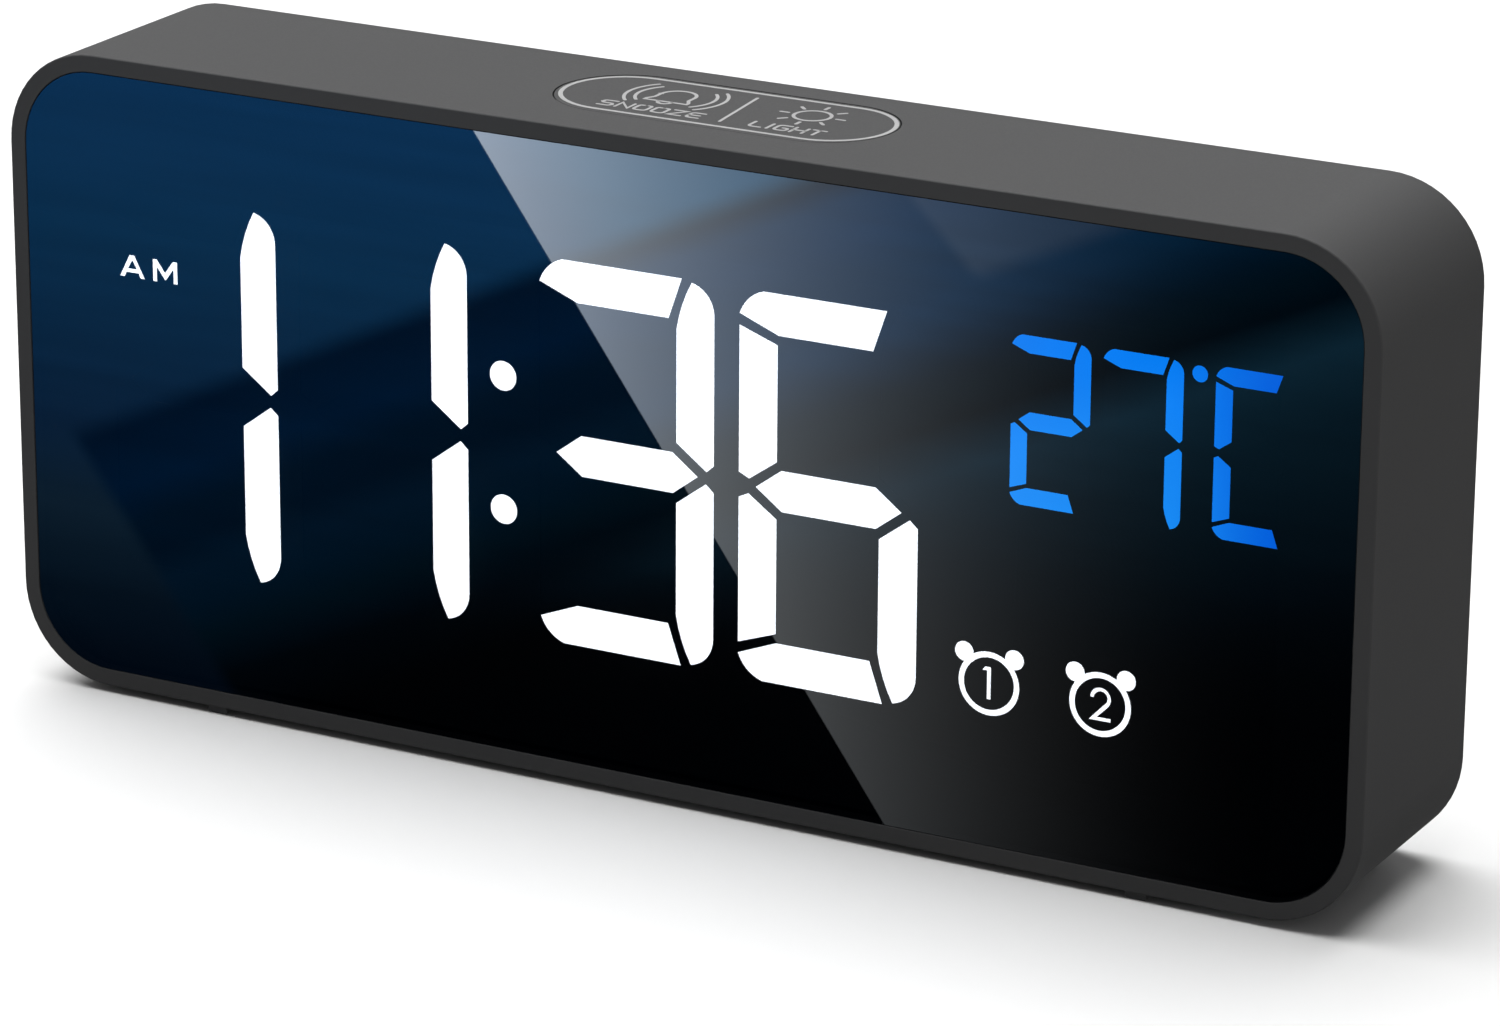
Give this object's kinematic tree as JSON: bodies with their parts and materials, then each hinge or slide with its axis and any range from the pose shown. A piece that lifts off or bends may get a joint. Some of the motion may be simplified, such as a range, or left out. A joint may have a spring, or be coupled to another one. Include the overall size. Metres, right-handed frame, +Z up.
{
  "type": "digital alarm clock",
  "caption": "Mirror-faced LED table alarm clock: rounded box, bar-digit time, temperature, alarm symbols, flush snooze and light key, rear keys and battery door.",
  "frame": {"origin": "on the table under the middle of the case, at the base of the feet", "axes": "+X to the right seen from the front, +Y to the back, +Z up; the display faces -Y"},
  "size_m": [0.165, 0.0276, 0.0747],
  "materials": {
    "case_plastic": "matt dark grey, very finely textured",
    "cover_plastic": "matt near-black, finely textured",
    "key_plastic": "satin near-black",
    "foot_rubber": "matt dark grey rubber",
    "smoked_mirror": "smoked half-mirror, glossy",
    "black_film": "matt black print",
    "printed_ink": "matt grey pad print on the top key and the rear keys",
    "foam_tape": "black foam tape",
    "black_plastic": "matt black",
    "white_light": "milky diffuser lit white from behind",
    "blue_light": "milky diffuser lit blue from behind",
    "unlit_diffuser": "smoked diffuser, unlit",
    "circuit_board": "green solder mask",
    "led_package": "small light-emitting chips",
    "chip_plastic": "black moulding compound",
    "connector_plastic": "ivory nylon",
    "bright_metal": "tinned or nickel-plated",
    "screw_steel": "black zinc-plated steel",
    "wire_insulation": "soft insulation",
    "speaker_paper": "pressed paper cone",
    "cell_jacket": "plain printed jacket, black with a copper band"
  },
  "bodies": {
    "case": {"housing": "case_plastic", "front_panel": "black_plastic", "foot_left": "foot_rubber", "foot_right": "foot_rubber", "front_lens": "smoked_mirror", "display_mask_film": "black_film", "lens_tape": "foam_tape", "light_box": "black_plastic", "hour_digits_lit": "white_light", "minute_digits_lit": "white_light", "time_digits_unlit": "unlit_diffuser", "colon_dots": "white_light", "temperature_digits_lit": "blue_light", "temperature_digits_unlit": "unlit_diffuser", "degree_dot": "blue_light", "am_marker": "white_light", "alarm_1_icon": "white_light", "alarm_2_icon": "white_light", "led_board": "circuit_board", "led_chips": "led_package", "led_driver_chips": "chip_plastic", "led_board_plug": "connector_plastic", "led_board_screws": "screw_steel", "ribbon_cable": "wire_insulation", "main_board": "circuit_board", "main_board_plug": "connector_plastic", "microcontroller": "chip_plastic", "clock_crystal": "bright_metal", "capacitors": "bright_metal", "voltage_regulator": "chip_plastic", "usb_socket": "bright_metal", "rear_key_switches": "chip_plastic", "temperature_sensor": "chip_plastic", "main_board_screws": "screw_steel", "snooze_board": "circuit_board", "snooze_switches": "chip_plastic", "snooze_board_screws": "screw_steel", "snooze_wires": "wire_insulation", "rear_cover": "cover_plastic", "rear_cover_screws": "screw_steel", "speaker_gasket": "foam_tape", "speaker_frame": "chip_plastic", "speaker_cone": "speaker_paper", "speaker_magnet": "bright_metal", "speaker_wires": "wire_insulation", "battery_cells": "cell_jacket", "battery_springs": "bright_metal", "battery_link_plates": "bright_metal", "battery_terminal_plates": "bright_metal", "battery_wires": "wire_insulation"},
    "snooze_button": {"snooze_key": "case_plastic"},
    "mode_button": {"mode_key": "key_plastic"},
    "alarm_button": {"alarm_key": "key_plastic"},
    "up_button": {"up_key": "key_plastic"},
    "down_button": {"down_key": "key_plastic"},
    "dimmer_button": {"dimmer_key": "key_plastic"},
    "door": {"battery_door": "cover_plastic"}
  },
  "joints": [
    {"name": "snooze_press", "type": "slide", "parent": "case", "child": "snooze_button", "axis": [0, 0, -1], "range_m": [0, 0.00045], "stiffness_N_per_m": 600, "springref_m": -0.0006},
    {"name": "mode_press", "type": "slide", "parent": "case", "child": "mode_button", "axis": [0, -1, 0], "range_m": [0, 0.0005], "stiffness_N_per_m": 400, "springref_m": -0.0005},
    {"name": "alarm_press", "type": "slide", "parent": "case", "child": "alarm_button", "axis": [0, -1, 0], "range_m": [0, 0.0005], "stiffness_N_per_m": 400, "springref_m": -0.0005},
    {"name": "up_press", "type": "slide", "parent": "case", "child": "up_button", "axis": [0, -1, 0], "range_m": [0, 0.0005], "stiffness_N_per_m": 400, "springref_m": -0.0005},
    {"name": "down_press", "type": "slide", "parent": "case", "child": "down_button", "axis": [0, -1, 0], "range_m": [0, 0.0005], "stiffness_N_per_m": 400, "springref_m": -0.0005},
    {"name": "dimmer_press", "type": "slide", "parent": "case", "child": "dimmer_button", "axis": [0, -1, 0], "range_m": [0, 0.0005], "stiffness_N_per_m": 400, "springref_m": -0.0005},
    {"name": "battery_door_hinge", "type": "hinge", "parent": "case", "child": "door", "pos_m": [-0.038, 0.0119, 0.0558], "axis": [1, 0, 0], "range_deg": [0, 80]}
  ]
}
